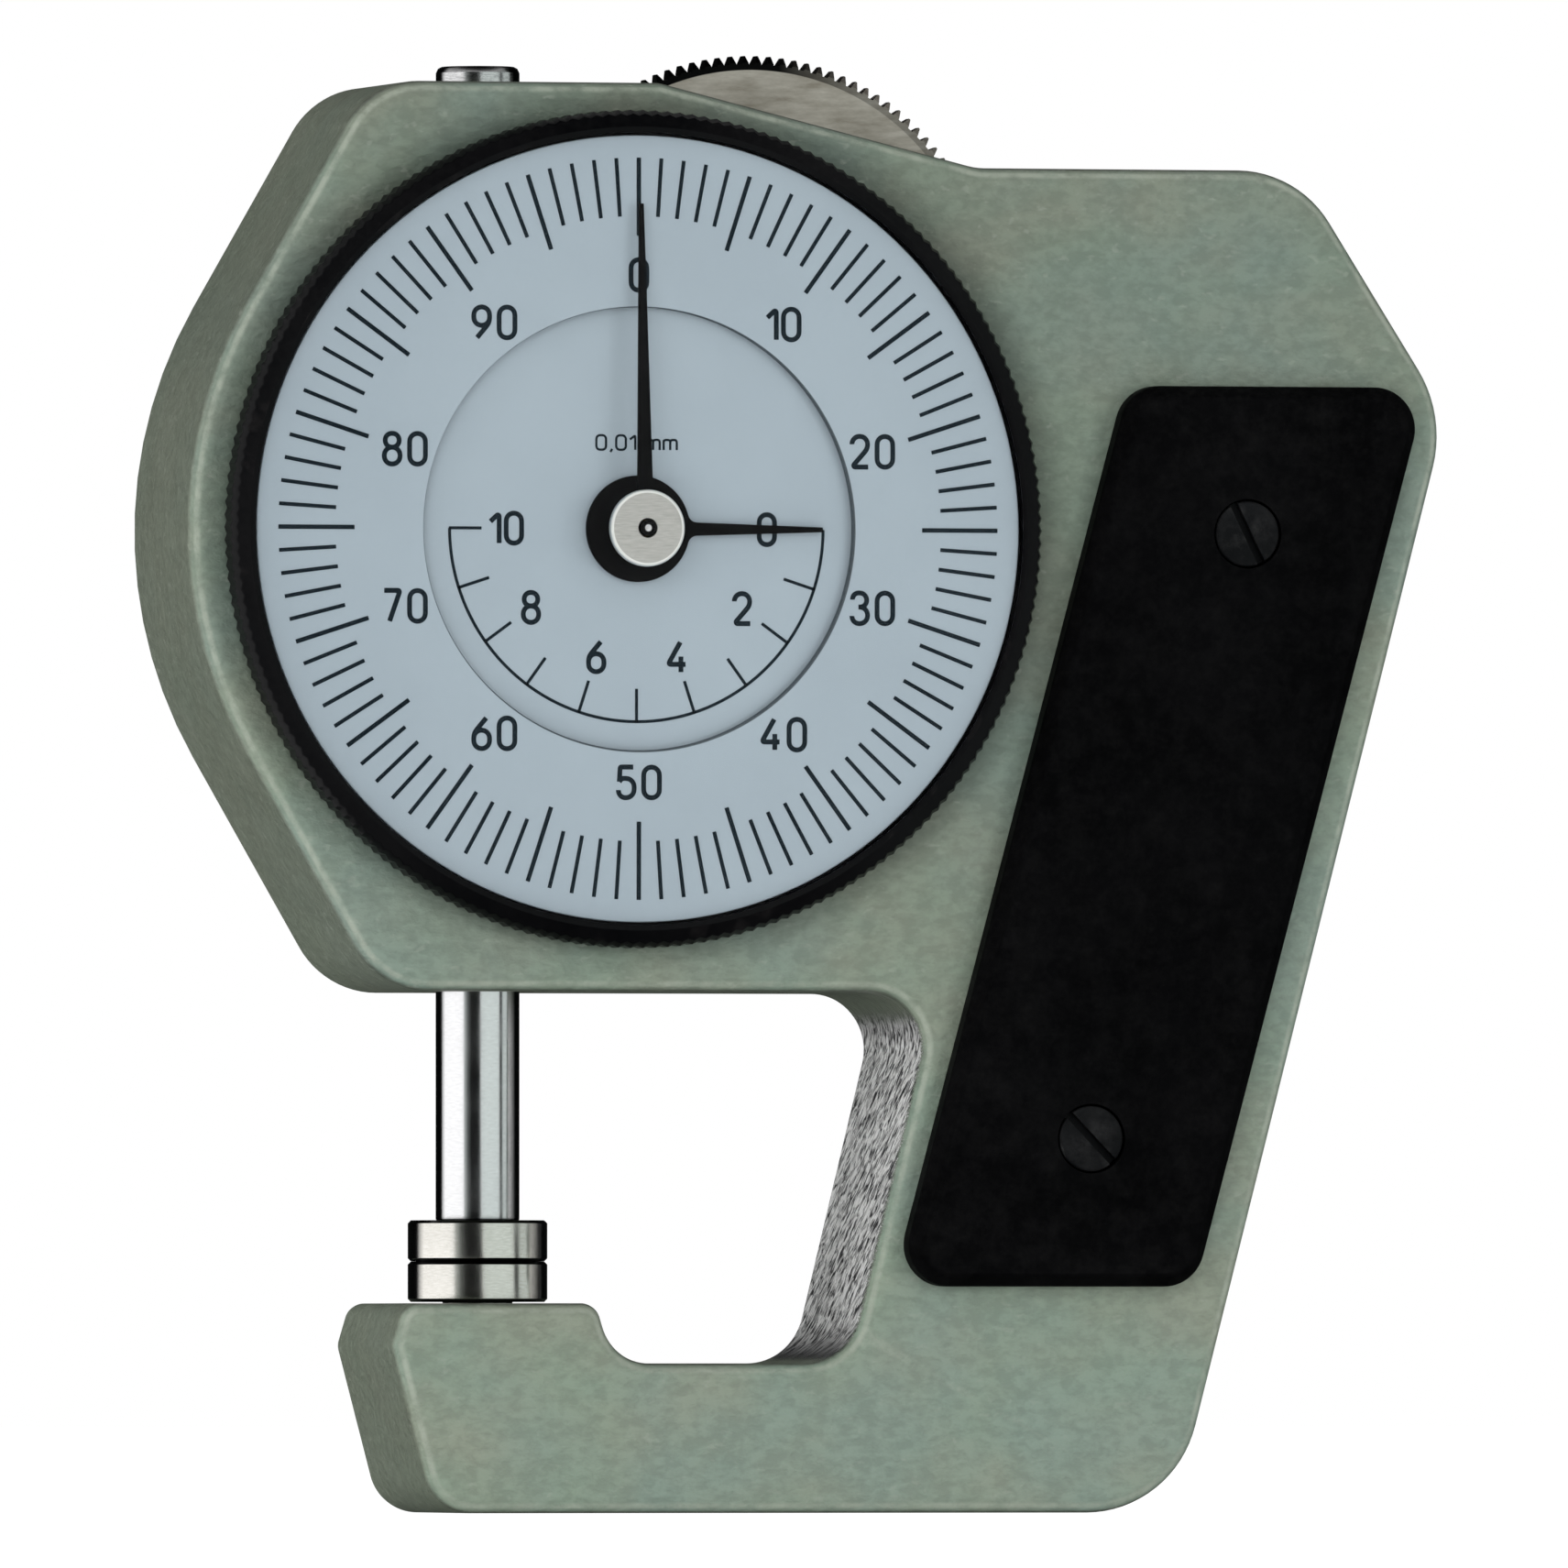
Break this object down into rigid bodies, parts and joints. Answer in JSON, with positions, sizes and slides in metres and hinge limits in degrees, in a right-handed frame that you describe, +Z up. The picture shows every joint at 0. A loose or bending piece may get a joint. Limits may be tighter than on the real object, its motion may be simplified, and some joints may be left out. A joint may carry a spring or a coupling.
{
  "type": "dial thickness gauge",
  "caption": "Hand-held dial thickness gauge with a cast C-shaped frame, flat measuring contacts, a thumb-wheel spindle lift and a turning dial.",
  "frame": {"origin": "middle of the frame's bottom flat under the dial axis, at half the frame's thickness", "axes": "+Z up along the spindle towards its cap, -Y out of the dial towards the reader, +X from the spindle towards the grip"},
  "size_m": [0.0926, 0.0274, 0.1046],
  "materials": {
    "hammer_paint": "cast alloy under grey-green hammer-finish paint",
    "black_plastic": "satin black moulded plastic",
    "black_enamel": "satin black enamel, fine knurl on the bezel",
    "blackened_steel": "chemically blackened steel",
    "ground_steel": "hardened steel, ground and polished",
    "brass": "clean machined brass",
    "spring_steel": "bright spring steel",
    "dial_enamel": "matt pale blue-grey enamel with black printed scales",
    "pointer_black": "matt black",
    "clear_crystal": "clear, domed, polished"
  },
  "bodies": {
    "housing": {"frame": "hammer_paint", "rear_cover": "black_enamel", "cover_screw_1": "blackened_steel", "cover_screw_2": "blackened_steel", "cover_screw_3": "blackened_steel", "cover_screw_4": "blackened_steel", "front_grip": "black_plastic", "rear_grip": "black_plastic", "front_grip_screw_upper": "blackened_steel", "front_grip_screw_lower": "blackened_steel", "rear_grip_screw_upper": "blackened_steel", "rear_grip_screw_lower": "blackened_steel", "lower_contact": "ground_steel", "lower_guide_bush": "brass", "upper_guide_bush": "brass", "front_plate": "brass", "rear_plate": "brass", "plate_pillar_1": "brass", "plate_pillar_2": "brass", "plate_pillar_3": "brass", "pillar_screw_1": "spring_steel", "pillar_screw_2": "spring_steel", "pillar_screw_3": "spring_steel", "plate_screw_1": "spring_steel", "plate_screw_2": "spring_steel", "plate_screw_3": "spring_steel", "wheel_axle": "ground_steel", "spring_post": "spring_steel", "hairspring_stud": "spring_steel", "hairspring": "spring_steel", "return_spring": "spring_steel", "inner_dial": "dial_enamel"},
    "spindle_unit": {"spindle": "ground_steel", "upper_contact": "ground_steel", "spindle_cap": "ground_steel", "spring_pin": "spring_steel"},
    "thumb_roller": {"thumb_wheel": "ground_steel"},
    "first_arbor_unit": {"first_arbor": "spring_steel", "first_wheel": "brass", "hour_pinion": "brass"},
    "centre_arbor_unit": {"centre_arbor": "spring_steel", "main_pointer": "pointer_black", "pointer_boss": "ground_steel"},
    "hour_unit": {"hour_wheel": "brass", "small_pointer": "pointer_black"},
    "take_up_unit": {"hairspring_arbor": "spring_steel", "hairspring_wheel": "brass", "hairspring_collet": "brass"},
    "bezel_unit": {"bezel": "black_enamel", "outer_dial": "dial_enamel", "crystal": "clear_crystal", "snap_ring": "spring_steel"}
  },
  "joints": [
    {"name": "spindle_slide", "type": "slide", "parent": "housing", "child": "spindle_unit", "axis": [0, 0, 1], "range_m": [0, 0.01], "stiffness_N_per_m": 30, "springref_m": -0.04, "deforming": ["return_spring"]},
    {"name": "thumb_wheel_turn", "type": "hinge", "parent": "housing", "child": "thumb_roller", "pos_m": [0.0112, 0, 0.0866], "axis": [0, 1, 0], "range_deg": [0, 32.4]},
    {"name": "first_arbor_turn", "type": "hinge", "parent": "housing", "child": "first_arbor_unit", "pos_m": [-0.01291, 0, 0.0703], "axis": [0, 1, 0], "range_deg": [-360, 0]},
    {"name": "main_pointer_turn", "type": "hinge", "parent": "housing", "child": "centre_arbor_unit", "pos_m": [0, 0, 0.0703], "axis": [0, 1, 0], "range_deg": [0, 3600]},
    {"name": "small_pointer_turn", "type": "hinge", "parent": "housing", "child": "hour_unit", "pos_m": [0, 0, 0.0703], "axis": [0, 1, 0], "range_deg": [0, 180]},
    {"name": "take_up_turn", "type": "hinge", "parent": "housing", "child": "take_up_unit", "pos_m": [0.00483, 0, 0.06365], "axis": [0, 1, 0], "range_deg": [-600, 0]},
    {"name": "bezel_turn", "type": "hinge", "parent": "housing", "child": "bezel_unit", "pos_m": [0, 0, 0.0703], "axis": [0, 1, 0], "continuous": true}
  ],
  "couplings": [
    {"joint": "thumb_wheel_turn", "follows": "spindle_slide", "rad_per_m": 56.497},
    {"joint": "first_arbor_turn", "follows": "spindle_slide", "rad_per_m": -628.32},
    {"joint": "main_pointer_turn", "follows": "spindle_slide", "rad_per_m": 6283.2},
    {"joint": "small_pointer_turn", "follows": "spindle_slide", "rad_per_m": 314.16},
    {"joint": "take_up_turn", "follows": "spindle_slide", "rad_per_m": -1047.2}
  ]
}
